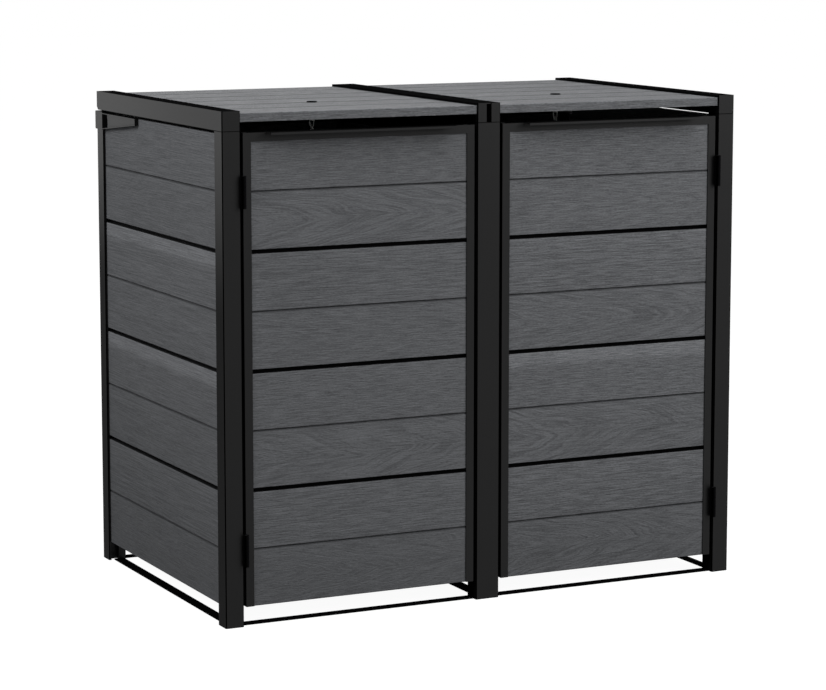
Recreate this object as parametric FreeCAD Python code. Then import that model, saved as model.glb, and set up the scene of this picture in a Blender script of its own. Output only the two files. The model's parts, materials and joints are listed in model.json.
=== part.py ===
import FreeCAD, Part
import math
import os

# Two-bay wheelie bin store: aluminium posts and rails, wide composite boards,
# two front doors and two lids. Millimetres, +Z up. The origin is on the ground,
# at the middle of the plan, on the underside of the centre floor bar.
# X runs from the left side to the right side, and Y from the doors to the rear wall.

# Overall size
WIDTH = 1380.0
DEPTH = 842.0
BODY_TOP = 1167.2
RAIL_HEIGHT = 46.5

# Clearances
SLOT_CLEAR = 0.4
SLOT_END_CLEAR = 1.0
REST_CLEAR = 0.3
PIN_CLEAR = 0.05

# Two measures closer than this are the same place
TOUCH = 0.01

# Posts
CORNER_POST_X = 46.0
FRONT_POST_Y = 48.0
REAR_POST_Y = 44.0
CENTRE_POST_X = 62.0
WALL = 2.0
CORNER_CHAMFER = 2.2
SLOT_DEPTH = 15.0
POST_CAP = 4.0

# Composite boards
BOARD_THICK = 20.0
BOARDS_UP = 4
BOARD_FOOT = 43.2
PANEL_BOTTOM = 46.8
JOINT_GAP = 8.5
BOARD_CHAMFER = 1.5
GROOVE_WIDTH = 5.0
GROOVE_DEPTH = 2.6
TONGUE_THICK = 6.0
TONGUE_LAP = 8.0
TONGUE_CLEAR = 0.5
SIDE_RECESS = 6.4
SIDE_TOP_DROP = 6.2

# Rear beam over the rear posts, and the rail between the two bays
BEAM_DROP = 3.2
BEAM_HEIGHT = 46.0
BEAM_DEPTH = 50.0
BEAM_OVERHANG = 12.5
BEAM_CAP = 3.0
BEAM_WALL = 2.5
CENTRE_RAIL_WIDTH = 46.0
BEAM_NOTCH = 23.0

# Floor bars with anchor holes
BAR_WIDTH = 26.0
CENTRE_BAR_WIDTH = 32.0
BAR_THICK = 3.0
BAR_SETBACK = 14.0
ANCHOR_RADIUS = 4.0
ANCHOR_INSET = 31.0

# Pressed corner brackets beside the rear beam
BRACKET_LENGTH = 240.0
BRACKET_REAR_DROP = 41.5
BRACKET_FRONT_DROP = 16.5
BRACKET_STAND = 10.5
BRACKET_SHEET = 2.0
BRACKET_PLATE_GAP = 18.0
BRACKET_PLATE_SLANT = 9.0

# Doors
DOOR_GAP = 7.0
DOOR_RECESS = 2.0
DOOR_TOP_DROP = 4.2
DOOR_DEPTH = 30.0
STILE_WIDTH = 20.0
STILE_SLOT = 14.0
STILE_WALL = 1.5
TOP_RAIL_HEIGHT = 20.0
TOP_RAIL_SLOT = 10.4
DOOR_BOARD_RECESS = 2.5

# Grip strip along the top of each door
GRIP_INSET = 58.0
GRIP_REACH = 30.0
GRIP_RISE = 1.0
GRIP_SHEET = 1.5
GRIP_FRONT = 5.5
GRIP_REAR = 8.0

# Butt hinges of the doors
HINGE_HEIGHT = 76.0
HINGE_RADIUS = 7.0
HINGE_STAND = 7.5
HINGE_LEAF = 2.0
HINGE_LEAF_REACH = 26.0
HINGE_PIN_RADIUS = 3.0
KNUCKLE_GAP = 0.4

# Lids
OUTER_RAIL_X = 46.0
INNER_RAIL_X = 26.5
LID_BOARD_DROP = 5.6
LID_FRONT_SETBACK = 4.0
LID_JOINT_GAP = 2.5
RAIL_REAR_BEVEL = 8.0
COVER_LIP_THICK = 2.0
COVER_LIP_CLEAR = 0.5
RAIL_CAP = 3.0

# Lid pivots on the rear beam
PIVOT_FROM_REAR = 14.0
PIVOT_ABOVE_RAIL = 12.7
PIVOT_RADIUS = 4.0
EAR_THICK = 3.0
EAR_RADIUS = 7.0
EAR_GAP = 0.6
EAR_FOOT_LENGTH = 24.0
EAR_FOOT_DEPTH = 22.0
EAR_FOOT_BACK = 5.0
PIVOT_TAIL = 18.0

# Bolt and eye nut that carry the chain, in the front joint of the lid boards
BOLT_HEAD_RADIUS = 13.0
BOLT_HEAD = 2.6
BOLT_HEAD_BEVEL = 1.2
BOLT_RADIUS = 3.9
BOLT_HOLE_RADIUS = 4.2
BOLT_TAIL = 3.7
NUT_RADIUS = 7.0
NUT_HEIGHT = 6.0
NUT_BORE = 4.0
NUT_BORE_RADIUS = 4.0
EYE_RADIUS = 9.0
EYE_WIRE = 2.5
EYE_DROP = 14.5

# Chain and its hook
LINK_COUNT = 4
WIRE_SIDES = 6
BEND_STEPS = 5
LINK_WIRE = 1.75
LINK_BEND = 5.5
LINK_STRAIGHT = 9.0
LINK_PLAY = 0.2
HOOK_WIRE = 2.2
HOOK_TOP_BEND = 5.5
HOOK_BEND = 8.5
HOOK_STRAIGHT = 19.0

# Places that follow from the sizes above
LEFT = -WIDTH / 2
FRONT = -DEPTH / 2
BACK = DEPTH / 2
BAY_LEFT = LEFT + CORNER_POST_X
BAY_RIGHT = -CENTRE_POST_X / 2
REAR_POST_FRONT = BACK - REAR_POST_Y
BEAM_TOP = BODY_TOP - BEAM_DROP
BEAM_BOTTOM = BEAM_TOP - BEAM_HEIGHT
BEAM_BACK = BACK + BEAM_OVERHANG
BEAM_FRONT = BEAM_BACK - BEAM_DEPTH
BOARD_PITCH = (BODY_TOP - BOARD_FOOT) / BOARDS_UP
JOINTS = [BOARD_FOOT + BOARD_PITCH * i for i in range(1, BOARDS_UP)]
SIDE_PANEL_TOP = BODY_TOP - SIDE_TOP_DROP
DOOR_TOP = BODY_TOP - DOOR_TOP_DROP
DOOR_LEFT = BAY_LEFT + DOOR_GAP
DOOR_RIGHT = BAY_RIGHT - DOOR_GAP
DOOR_FRONT = FRONT + DOOR_RECESS
DOOR_RAIL_BOTTOM = DOOR_TOP - TOP_RAIL_HEIGHT
HINGE_X = BAY_LEFT + DOOR_GAP / 2
HINGE_Y = FRONT - HINGE_STAND
RAIL_BOTTOM = BODY_TOP + REST_CLEAR
LID_TOP = RAIL_BOTTOM + RAIL_HEIGHT
LID_BOARD_TOP = LID_TOP - LID_BOARD_DROP
LID_BOARD_BOTTOM = LID_BOARD_TOP - BOARD_THICK
OUTER_RAIL_INNER = LEFT + OUTER_RAIL_X
INNER_RAIL_INNER = BAY_RIGHT
INNER_RAIL_OUTER = BAY_RIGHT + INNER_RAIL_X
PIVOT_Y = BACK - PIVOT_FROM_REAR
PIVOT_Z = RAIL_BOTTOM + PIVOT_ABOVE_RAIL
LID_MIDDLE = (OUTER_RAIL_INNER + INNER_RAIL_INNER) / 2
EYE_Y = FRONT + LID_FRONT_SETBACK + BOARD_PITCH
EYE_Z = LID_BOARD_BOTTOM - EYE_DROP

X_AXIS = FreeCAD.Vector(1, 0, 0)
Y_AXIS = FreeCAD.Vector(0, 1, 0)
Z_AXIS = FreeCAD.Vector(0, 0, 1)


def box(x0, x1, y0, y1, z0, z1):
    corner = FreeCAD.Vector(x0, y0, z0)
    return Part.makeBox(x1 - x0, y1 - y0, z1 - z0, corner)


def cylinder(radius, length, start, direction):
    return Part.makeCylinder(radius, length, start, direction)


def prism(points, run):
    """A closed outline of 3-D points, pushed along the vector run."""
    outline = Part.makePolygon(points + [points[0]])
    return Part.Face(outline).extrude(run)


def eased(shape, direction):
    """Takes the sharpness off the long edges of a profile that run along direction."""
    edges = []
    for edge in shape.Edges:
        along = edge.Vertexes[1].Point - edge.Vertexes[0].Point
        along.normalize()
        if abs(along.dot(direction)) > 0.999:
            edges.append(edge)
    return shape.makeChamfer(CORNER_CHAMFER, edges)


def mirrored(shape):
    return shape.mirror(FreeCAD.Vector(0, 0, 0), X_AXIS)


def as_group(solids):
    return Part.makeCompound(solids)


def board_section(low, high, rebate, tongue, gap, groove):
    """Outline of a board: depth from the show face against height, with its laps."""
    lap_face = BOARD_THICK - TONGUE_THICK
    points = [(0.0, low + BOARD_CHAMFER)]
    if groove is not None:
        points.append((0.0, groove - GROOVE_WIDTH / 2))
        points.append((GROOVE_DEPTH, groove))
        points.append((0.0, groove + GROOVE_WIDTH / 2))
    points.append((0.0, high - BOARD_CHAMFER))
    points.append((BOARD_CHAMFER, high))
    if tongue:
        points.append((lap_face, high))
        points.append((lap_face, high + gap + TONGUE_LAP))
        points.append((BOARD_THICK, high + gap + TONGUE_LAP))
    else:
        points.append((BOARD_THICK, high))
    if rebate:
        points.append((BOARD_THICK, low + TONGUE_LAP + TONGUE_CLEAR))
        points.append((lap_face - SLOT_CLEAR, low + TONGUE_LAP + TONGUE_CLEAR))
        points.append((lap_face - SLOT_CLEAR, low))
    else:
        points.append((BOARD_THICK, low))
    points.append((BOARD_CHAMFER, low))
    return points


def board(corner, inward, rise, run, section):
    points = [corner + inward * depth + rise * height for depth, height in section]
    return prism(points, run)


def board_stack(corner, inward, rise, run, low, high, joints, gap):
    """Boards that lap one another from low to high, each with a groove along its middle."""
    boards = []
    edges = [low] + list(joints) + [high]
    for index in range(len(edges) - 1):
        first = index == 0
        last = index == len(edges) - 2
        bottom = edges[index] if first else edges[index] + gap / 2
        top = edges[index + 1] if last else edges[index + 1] - gap / 2
        if first:
            groove = edges[index + 1] - BOARD_PITCH / 2
        else:
            groove = edges[index] + BOARD_PITCH / 2
        section = board_section(bottom, top, not first, not last, gap, groove)
        boards.append(board(corner, inward, rise, run, section))
    return boards


def tube_post(x0, x1, y0, y1, height, cuts):
    """A hollow post: cuts are plan boxes (x0, x1, y0, y1) taken out over its height."""
    post = eased(box(x0, x1, y0, y1, 0, height), Z_AXIS)
    for cx0, cx1, cy0, cy1 in cuts:
        post = post.cut(box(cx0, cx1, cy0, cy1, -1, height + 1))
    return post


def side_slot():
    """X limits of the slot that takes the left side boards."""
    face = LEFT + SIDE_RECESS
    return face - SLOT_CLEAR, face + BOARD_THICK + SLOT_CLEAR


def rear_slot():
    """Y limits of the slot that takes the rear boards."""
    face = BACK - SIDE_RECESS
    return face - BOARD_THICK - SLOT_CLEAR, face + SLOT_CLEAR


def front_left_post():
    x0, x1 = LEFT, BAY_LEFT
    y0, y1 = FRONT, FRONT + FRONT_POST_Y
    slot_x0, slot_x1 = side_slot()
    slot_y = y1 - SLOT_DEPTH
    slot = (slot_x0, slot_x1, slot_y, y1 + 1)
    main = (x0 + WALL, x1 - WALL, y0 + WALL, slot_y - WALL)
    beside = (slot_x1 + WALL, x1 - WALL, slot_y, y1 - WALL)
    return tube_post(x0, x1, y0, y1, BODY_TOP - POST_CAP, [slot, main, beside])


def front_centre_post():
    x0, x1 = BAY_RIGHT, -BAY_RIGHT
    y0, y1 = FRONT, FRONT + FRONT_POST_Y
    main = (x0 + WALL, x1 - WALL, y0 + WALL, y1 - WALL)
    return tube_post(x0, x1, y0, y1, BODY_TOP - POST_CAP, [main])


def rear_left_post():
    x0, x1 = LEFT, BAY_LEFT
    y0, y1 = REAR_POST_FRONT, BACK
    slot_x0, slot_x1 = side_slot()
    slot_y0, slot_y1 = rear_slot()
    side = (slot_x0, slot_x1, y0 - 1, y0 + SLOT_DEPTH)
    rear = (x1 - SLOT_DEPTH, x1 + 1, slot_y0, slot_y1)
    hollow = (x0 + WALL, x1 - SLOT_DEPTH - WALL, y0 + SLOT_DEPTH + WALL, y1 - WALL)
    return tube_post(x0, x1, y0, y1, BEAM_BOTTOM, [side, rear, hollow])


def rear_centre_post():
    x0, x1 = BAY_RIGHT, -BAY_RIGHT
    y0, y1 = REAR_POST_FRONT, BACK
    slot_y0, slot_y1 = rear_slot()
    left = (x0 - 1, x0 + SLOT_DEPTH, slot_y0, slot_y1)
    right = (x1 - SLOT_DEPTH, x1 + 1, slot_y0, slot_y1)
    hollow = (x0 + SLOT_DEPTH + WALL, x1 - SLOT_DEPTH - WALL, y0 + WALL, y1 - WALL)
    return tube_post(x0, x1, y0, y1, BEAM_BOTTOM, [left, right, hollow])


def post_cap(x0, x1):
    z0 = BODY_TOP - POST_CAP
    cap = box(x0, x1, FRONT, FRONT + FRONT_POST_Y, z0, BODY_TOP)
    return eased(cap, Z_AXIS)


def post_top_caps():
    left = post_cap(LEFT, BAY_LEFT)
    middle = post_cap(BAY_RIGHT, -BAY_RIGHT)
    return as_group([left, middle, mirrored(left)])


def rear_beam():
    half = WIDTH / 2 - BEAM_CAP
    beam = box(-half, half, BEAM_FRONT, BEAM_BACK, BEAM_BOTTOM, BEAM_TOP)
    beam = eased(beam, X_AXIS)
    return beam.cut(box(
        -half - 1, half + 1, BEAM_FRONT + BEAM_WALL, BEAM_BACK - BEAM_WALL,
        BEAM_BOTTOM + BEAM_WALL, BEAM_TOP - BEAM_WALL))


def rear_beam_caps():
    cap = box(LEFT, LEFT + BEAM_CAP, BEAM_FRONT, BEAM_BACK, BEAM_BOTTOM, BEAM_TOP)
    cap = eased(cap, X_AXIS)
    return as_group([cap, mirrored(cap)])


def centre_top_rail():
    half = CENTRE_RAIL_WIDTH / 2
    y0 = FRONT + FRONT_POST_Y
    rail = box(-half, half, y0, BEAM_FRONT, BEAM_BOTTOM, BEAM_TOP)
    rail = eased(rail, Y_AXIS)
    return rail.cut(box(
        -half + WALL, half - WALL, y0 - 1, BEAM_FRONT + 1,
        BEAM_BOTTOM + WALL, BEAM_TOP - WALL))


def anchored(bar, places):
    for x, y in places:
        start = FreeCAD.Vector(x, y, -1)
        bar = bar.cut(cylinder(ANCHOR_RADIUS, BAR_THICK + 2, start, Z_AXIS))
    return bar


def anchor_rows():
    """X places of the three anchor holes between a corner post and the centre post."""
    return [BAY_LEFT + ANCHOR_INSET, (BAY_LEFT + BAY_RIGHT) / 2, BAY_RIGHT - ANCHOR_INSET]


def front_floor_bars():
    y0 = FRONT + BAR_SETBACK
    bar = box(BAY_LEFT, BAY_RIGHT, y0, y0 + BAR_WIDTH, 0, BAR_THICK)
    bar = anchored(bar, [(x, y0 + BAR_WIDTH / 2) for x in anchor_rows()])
    return as_group([bar, mirrored(bar)])


def rear_floor_bars():
    y1 = BACK - BAR_SETBACK
    bar = box(BAY_LEFT, BAY_RIGHT, y1 - BAR_WIDTH, y1, 0, BAR_THICK)
    bar = anchored(bar, [(x, y1 - BAR_WIDTH / 2) for x in anchor_rows()])
    return as_group([bar, mirrored(bar)])


def side_floor_bars():
    x0 = LEFT + BAR_SETBACK
    bar = box(x0, x0 + BAR_WIDTH, FRONT + FRONT_POST_Y, REAR_POST_FRONT, 0, BAR_THICK)
    bar = anchored(bar, [(x0 + BAR_WIDTH / 2, 0.0)])
    return as_group([bar, mirrored(bar)])


def centre_floor_bar():
    half = CENTRE_BAR_WIDTH / 2
    return box(-half, half, FRONT + FRONT_POST_Y, REAR_POST_FRONT, 0, BAR_THICK)


def left_side_boards():
    y0 = FRONT + FRONT_POST_Y - SLOT_DEPTH + SLOT_END_CLEAR
    y1 = REAR_POST_FRONT + SLOT_DEPTH - SLOT_END_CLEAR
    corner = FreeCAD.Vector(LEFT + SIDE_RECESS, y0, 0)
    boards = board_stack(
        corner, X_AXIS, Z_AXIS, Y_AXIS * (y1 - y0),
        PANEL_BOTTOM, SIDE_PANEL_TOP, JOINTS, JOINT_GAP)
    notch = box(
        LEFT, BAY_LEFT, BEAM_FRONT - BEAM_NOTCH, BACK,
        BEAM_BOTTOM - SLOT_END_CLEAR, LID_TOP)
    boards[-1] = boards[-1].cut(notch)
    return as_group(boards)


def rear_left_boards():
    x0 = BAY_LEFT - SLOT_DEPTH + SLOT_END_CLEAR
    x1 = BAY_RIGHT + SLOT_DEPTH - SLOT_END_CLEAR
    corner = FreeCAD.Vector(x0, BACK - SIDE_RECESS, 0)
    top = BEAM_BOTTOM - REST_CLEAR
    return as_group(board_stack(
        corner, Y_AXIS * -1, Z_AXIS, X_AXIS * (x1 - x0),
        PANEL_BOTTOM, top, JOINTS, JOINT_GAP))


def left_corner_bracket():
    """A tapered pressed tray on the side boards, lipped along its top, bottom and front."""
    outer = LEFT + SIDE_RECESS - BRACKET_STAND
    y_rear = REAR_POST_FRONT
    y_front = y_rear - BRACKET_LENGTH
    top = SIDE_PANEL_TOP
    rear_low = top - BRACKET_REAR_DROP
    front_low = top - BRACKET_FRONT_DROP
    outline = [
        FreeCAD.Vector(outer, y_front, front_low),
        FreeCAD.Vector(outer, y_front, top),
        FreeCAD.Vector(outer, y_rear, top),
        FreeCAD.Vector(outer, y_rear, rear_low),
    ]
    tray = prism(outline, X_AXIS * BRACKET_STAND)
    slope = (rear_low - front_low) / BRACKET_LENGTH
    inner_front = y_front + BRACKET_SHEET
    lip = BRACKET_SHEET
    hollow = [
        FreeCAD.Vector(outer, inner_front, front_low + lip + slope * lip),
        FreeCAD.Vector(outer, inner_front, top - lip),
        FreeCAD.Vector(outer, y_rear, top - lip),
        FreeCAD.Vector(outer, y_rear, rear_low + lip),
    ]
    tray = tray.cut(prism(hollow, X_AXIS * (BRACKET_STAND - BRACKET_SHEET)))
    edge = y_rear - BRACKET_PLATE_GAP
    window = [
        FreeCAD.Vector(outer, edge, top - lip),
        FreeCAD.Vector(outer, y_rear + 1, top - lip),
        FreeCAD.Vector(outer, y_rear + 1, rear_low + lip),
        FreeCAD.Vector(outer, edge - BRACKET_PLATE_SLANT, rear_low + 2 * lip),
    ]
    return tray.cut(prism(window, X_AXIS * BRACKET_STAND))


def left_door_stiles():
    y0 = DOOR_FRONT
    board_y0 = y0 + DOOR_BOARD_RECESS - SLOT_CLEAR
    board_y1 = y0 + DOOR_BOARD_RECESS + BOARD_THICK + SLOT_CLEAR
    stile = box(DOOR_LEFT, DOOR_LEFT + STILE_WIDTH, y0, y0 + DOOR_DEPTH, PANEL_BOTTOM, DOOR_TOP)
    inner = DOOR_LEFT + STILE_WIDTH
    slot = box(inner - STILE_SLOT, inner + 1, board_y0, board_y1, 0, LID_TOP)
    hollow = box(
        DOOR_LEFT + STILE_WALL, inner - STILE_WALL,
        board_y1 + STILE_WALL, y0 + DOOR_DEPTH - STILE_WALL, 0, LID_TOP)
    hinge_stile = stile.cut(slot).cut(hollow)
    middle = FreeCAD.Vector((DOOR_LEFT + DOOR_RIGHT) / 2, 0, 0)
    free_stile = hinge_stile.mirror(middle, X_AXIS)
    return as_group([hinge_stile, free_stile])


def left_door_top_rail():
    x0 = DOOR_LEFT + STILE_WIDTH
    x1 = DOOR_RIGHT - STILE_WIDTH
    y0 = DOOR_FRONT
    board_y0 = y0 + DOOR_BOARD_RECESS - SLOT_CLEAR
    board_y1 = y0 + DOOR_BOARD_RECESS + BOARD_THICK + SLOT_CLEAR
    rail = box(x0, x1, y0, y0 + DOOR_DEPTH, DOOR_RAIL_BOTTOM, DOOR_TOP)
    slot = box(
        x0 - 1, x1 + 1, board_y0, board_y1, DOOR_RAIL_BOTTOM - 1, DOOR_RAIL_BOTTOM + TOP_RAIL_SLOT)
    hollow = box(
        x0 - 1, x1 + 1, y0 + WALL, y0 + DOOR_DEPTH - WALL,
        DOOR_RAIL_BOTTOM + TOP_RAIL_SLOT + WALL, DOOR_TOP - WALL)
    return rail.cut(slot).cut(hollow)


def left_door_boards():
    x0 = DOOR_LEFT + STILE_WIDTH - STILE_SLOT + SLOT_END_CLEAR
    x1 = DOOR_RIGHT - STILE_WIDTH + STILE_SLOT - SLOT_END_CLEAR
    corner = FreeCAD.Vector(x0, DOOR_FRONT + DOOR_BOARD_RECESS, 0)
    top = DOOR_RAIL_BOTTOM + TOP_RAIL_SLOT - SLOT_CLEAR
    return board_stack(
        corner, Y_AXIS, Z_AXIS, X_AXIS * (x1 - x0),
        PANEL_BOTTOM, top, JOINTS, JOINT_GAP)


def left_door_grip():
    """A folded strip under which the fingers reach: rear flange, top and a short front lip."""
    x0 = DOOR_LEFT + GRIP_INSET
    x1 = DOOR_RIGHT - GRIP_INSET
    top = DOOR_TOP + GRIP_RISE
    back = DOOR_FRONT
    front = back - GRIP_REACH
    section = [
        (front, top), (back, top), (back, top - GRIP_REAR), (back - GRIP_SHEET, top - GRIP_REAR),
        (back - GRIP_SHEET, top - GRIP_SHEET), (front + GRIP_SHEET, top - GRIP_SHEET),
        (front + GRIP_SHEET, top - GRIP_FRONT), (front, top - GRIP_FRONT),
    ]
    points = [FreeCAD.Vector(x0, y, z) for y, z in section]
    return prism(points, X_AXIS * (x1 - x0))


def hinge_bottoms():
    """Heights of the two hinges of a door, centred on its lowest and highest board grooves."""
    low = JOINTS[0] - BOARD_PITCH / 2
    high = JOINTS[-1] + BOARD_PITCH / 2
    return [low - HINGE_HEIGHT / 2, high - HINGE_HEIGHT / 2]


def knuckle(z0, z1):
    start = FreeCAD.Vector(HINGE_X, HINGE_Y, z0)
    barrel = cylinder(HINGE_RADIUS, z1 - z0, start, Z_AXIS)
    bore = cylinder(HINGE_PIN_RADIUS + PIN_CLEAR, z1 - z0, start, Z_AXIS)
    return barrel, bore


def hinge_leaf(side, bottom, knuckles):
    """One leaf against the face at x = HINGE_X + side * DOOR_GAP / 2, with its knuckles."""
    face = HINGE_X + side * DOOR_GAP / 2
    x0, x1 = sorted([face, face - side * HINGE_LEAF])
    clear_y = HINGE_Y + HINGE_RADIUS + 2 * KNUCKLE_GAP
    end_y = FRONT + HINGE_LEAF_REACH
    leaf = box(x0, x1, clear_y, end_y, bottom, bottom + HINGE_HEIGHT)
    bores = []
    for z0, z1 in knuckles:
        barrel, bore = knuckle(z0, z1)
        tab = box(x0, x1, HINGE_Y, clear_y, z0, z1)
        leaf = leaf.fuse([barrel, tab])
        bores.append(bore)
    for bore in bores:
        leaf = leaf.cut(bore)
    return leaf.removeSplitter()


def hinge_thirds(bottom):
    third = HINGE_HEIGHT / 3
    cut = KNUCKLE_GAP / 2
    lower = (bottom, bottom + third - cut)
    middle = (bottom + third + cut, bottom + 2 * third - cut)
    upper = (bottom + 2 * third + cut, bottom + HINGE_HEIGHT)
    return lower, middle, upper


def left_post_leaves():
    leaves = []
    for bottom in hinge_bottoms():
        lower, middle, upper = hinge_thirds(bottom)
        leaves.append(hinge_leaf(-1, bottom, [lower, upper]))
    return leaves


def left_door_leaves():
    leaves = []
    for bottom in hinge_bottoms():
        lower, middle, upper = hinge_thirds(bottom)
        leaves.append(hinge_leaf(1, bottom, [middle]))
    return leaves


def left_door_pins():
    pins = []
    for bottom in hinge_bottoms():
        start = FreeCAD.Vector(HINGE_X, HINGE_Y, bottom)
        pins.append(cylinder(HINGE_PIN_RADIUS, HINGE_HEIGHT, start, Z_AXIS))
    return pins


def span(xa, xb, y0, y1, z0, z1):
    """A box between two X values given in either order."""
    return box(min(xa, xb), max(xa, xb), y0, y1, z0, z1)


def rail_blank(outer, inner, lip):
    """A lid rail as a full bar, with the cover lip of the left lid where lip is true."""
    rail = span(outer, inner, FRONT, BACK, RAIL_BOTTOM, LID_TOP)
    rear_edges = []
    for edge in rail.Edges:
        middle = edge.CenterOfMass
        if abs(middle.y - BACK) < TOUCH and abs(middle.z - RAIL_BOTTOM) < TOUCH:
            rear_edges.append(edge)
    rail = rail.makeChamfer(RAIL_REAR_BEVEL, rear_edges)
    if lip:
        end = -INNER_RAIL_OUTER - COVER_LIP_CLEAR
        rail = rail.fuse(box(outer, end, FRONT, BACK, LID_TOP - COVER_LIP_THICK, LID_TOP))
    return rail.removeSplitter()


def lid_rail(outer, inner, lip):
    """A lid's side rail: outer and inner are the X of its plain and its slotted face."""
    toward = 1 if inner > outer else -1
    y0, y1 = FRONT + RAIL_CAP, BACK - RAIL_CAP
    middle = span(LEFT - 1, -LEFT + 1, y0, y1, RAIL_BOTTOM, LID_TOP)
    rail = rail_blank(outer, inner, lip).common(middle)
    slot_bottom = LID_BOARD_BOTTOM - SLOT_CLEAR
    slot_top = LID_BOARD_TOP + SLOT_CLEAR
    slot_back = inner - toward * SLOT_DEPTH
    web = slot_back - toward * WALL
    low = RAIL_BOTTOM + WALL
    rail = rail.cut(span(slot_back, inner + toward, y0 - 1, y1 + 1, slot_bottom, slot_top))
    rail = rail.cut(span(outer + toward * WALL, web, y0 - 1, y1 + 1, low, LID_TOP - WALL))
    rail = rail.cut(span(
        slot_back, inner - toward * WALL, y0 - 1, y1 + 1, low, slot_bottom - WALL))
    start = FreeCAD.Vector(outer + toward * WALL, PIVOT_Y, PIVOT_Z)
    bore = cylinder(PIVOT_RADIUS + PIN_CLEAR, abs(inner - outer), start, X_AXIS * toward)
    return rail.cut(bore).removeSplitter()


def rail_caps(outer, inner, lip):
    """The end plates of a lid rail, in front and behind."""
    blank = rail_blank(outer, inner, lip)
    front = span(LEFT - 1, -LEFT + 1, FRONT, FRONT + RAIL_CAP, RAIL_BOTTOM, LID_TOP)
    rear = span(LEFT - 1, -LEFT + 1, BACK - RAIL_CAP, BACK, RAIL_BOTTOM, LID_TOP)
    front_cap = blank.common(front)
    upright = []
    for edge in front_cap.Edges:
        low, high = sorted([vertex.Point.z for vertex in edge.Vertexes])
        if edge.CenterOfMass.y < FRONT + TOUCH and high - low > RAIL_HEIGHT / 2:
            upright.append(edge)
    return [front_cap.makeChamfer(CORNER_CHAMFER, upright), blank.common(rear)]


def lid_rail_caps(lip):
    outer_caps = rail_caps(LEFT, OUTER_RAIL_INNER, False)
    return as_group(outer_caps + rail_caps(INNER_RAIL_OUTER, INNER_RAIL_INNER, lip))


def left_lid_boards():
    """Three boards between the slots of the rails, with the bolt hole in their front joint."""
    start_x = OUTER_RAIL_INNER - SLOT_DEPTH + SLOT_END_CLEAR
    end_x = INNER_RAIL_INNER + SLOT_DEPTH - SLOT_END_CLEAR
    corner = FreeCAD.Vector(start_x, FRONT + LID_FRONT_SETBACK, LID_BOARD_TOP)
    joints = [BOARD_PITCH, 2 * BOARD_PITCH]
    depth = DEPTH - LID_FRONT_SETBACK - RAIL_CAP - SLOT_END_CLEAR
    run = X_AXIS * (end_x - start_x)
    boards = board_stack(
        corner, Z_AXIS * -1, Y_AXIS, run, 0.0, depth, joints, LID_JOINT_GAP)
    start = FreeCAD.Vector(LID_MIDDLE, EYE_Y, LID_BOARD_BOTTOM - 1)
    hole = cylinder(BOLT_HOLE_RADIUS, BOARD_THICK + 2, start, Z_AXIS)
    return [plank.cut(hole) for plank in boards[:2]] + boards[2:]


def left_lid_bolt():
    """A flat-headed bolt whose head covers the joint of the boards."""
    head_base = FreeCAD.Vector(LID_MIDDLE, EYE_Y, LID_BOARD_TOP)
    head = cylinder(BOLT_HEAD_RADIUS, BOLT_HEAD, head_base, Z_AXIS)
    rim = []
    for edge in head.Edges:
        if abs(edge.CenterOfMass.z - LID_BOARD_TOP - BOLT_HEAD) < TOUCH:
            rim.append(edge)
    head = head.makeChamfer(BOLT_HEAD_BEVEL, rim)
    shank = cylinder(BOLT_RADIUS, BOARD_THICK + BOLT_TAIL, head_base, Z_AXIS * -1)
    return head.fuse(shank).removeSplitter()


def left_lid_eye_nut():
    """A round nut under the boards with an eye below it."""
    nut_top = FreeCAD.Vector(LID_MIDDLE, EYE_Y, LID_BOARD_BOTTOM)
    nut = cylinder(NUT_RADIUS, NUT_HEIGHT, nut_top, Z_AXIS * -1)
    eye_top = FreeCAD.Vector(LID_MIDDLE, EYE_Y, EYE_Z + EYE_RADIUS)
    eye = wire_loop(eye_top, EYE_RADIUS, EYE_RADIUS, 0.0, EYE_WIRE, Y_AXIS)
    nut = nut.fuse(eye).cut(cylinder(NUT_BORE_RADIUS, NUT_BORE, nut_top, Z_AXIS * -1))
    return nut.removeSplitter()


def bend_points(centre, radius, side, first, last):
    """Points on an arc about centre, between two angles measured from side towards -Z."""
    points = []
    for step in range(BEND_STEPS + 1):
        angle = math.radians(first + (last - first) * step / BEND_STEPS)
        arm = side * math.cos(angle) - Z_AXIS * math.sin(angle)
        points.append(centre + arm * radius)
    return points


def wire_loop(top, lower_bend, upper_bend, straight, wire, side):
    """A closed link of wire that hangs from its upper bend; side is the way of its width."""
    upper = top - Z_AXIS * upper_bend
    lower = upper - Z_AXIS * straight
    lean = math.degrees(math.asin((lower_bend - upper_bend) / straight)) if straight else 0.0
    path = bend_points(lower, lower_bend, side, -lean, 180 + lean)
    upper_arc = bend_points(upper, upper_bend, side, 180 + lean, 360 - lean)
    path += upper_arc if straight else upper_arc[1:-1]
    normal = side.cross(Z_AXIS)
    sections = []
    for index, point in enumerate(path):
        before = point - path[index - 1]
        after = path[(index + 1) % len(path)] - point
        before.normalize()
        after.normalize()
        across = (before + after).cross(normal)
        across.normalize()
        mitre = wire / math.sqrt((1 + before.dot(after)) / 2)
        sections.append(wire_section(point, across * mitre, normal * wire))
    faces = []
    for index, section in enumerate(sections):
        previous = sections[index - 1]
        for corner in range(WIRE_SIDES):
            quad = [previous[corner - 1], previous[corner], section[corner], section[corner - 1]]
            faces.append(Part.Face(Part.makePolygon(quad + [quad[0]])))
    solid = Part.Solid(Part.Shell(faces))
    if solid.Volume < 0:
        solid.reverse()
    return solid


def wire_section(point, across, normal):
    """Corners of the wire's section at a point of its path."""
    corners = []
    for side in range(WIRE_SIDES):
        angle = 2 * math.pi * (side + 0.5) / WIRE_SIDES
        corners.append(point + across * math.cos(angle) + normal * math.sin(angle))
    return corners


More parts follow.
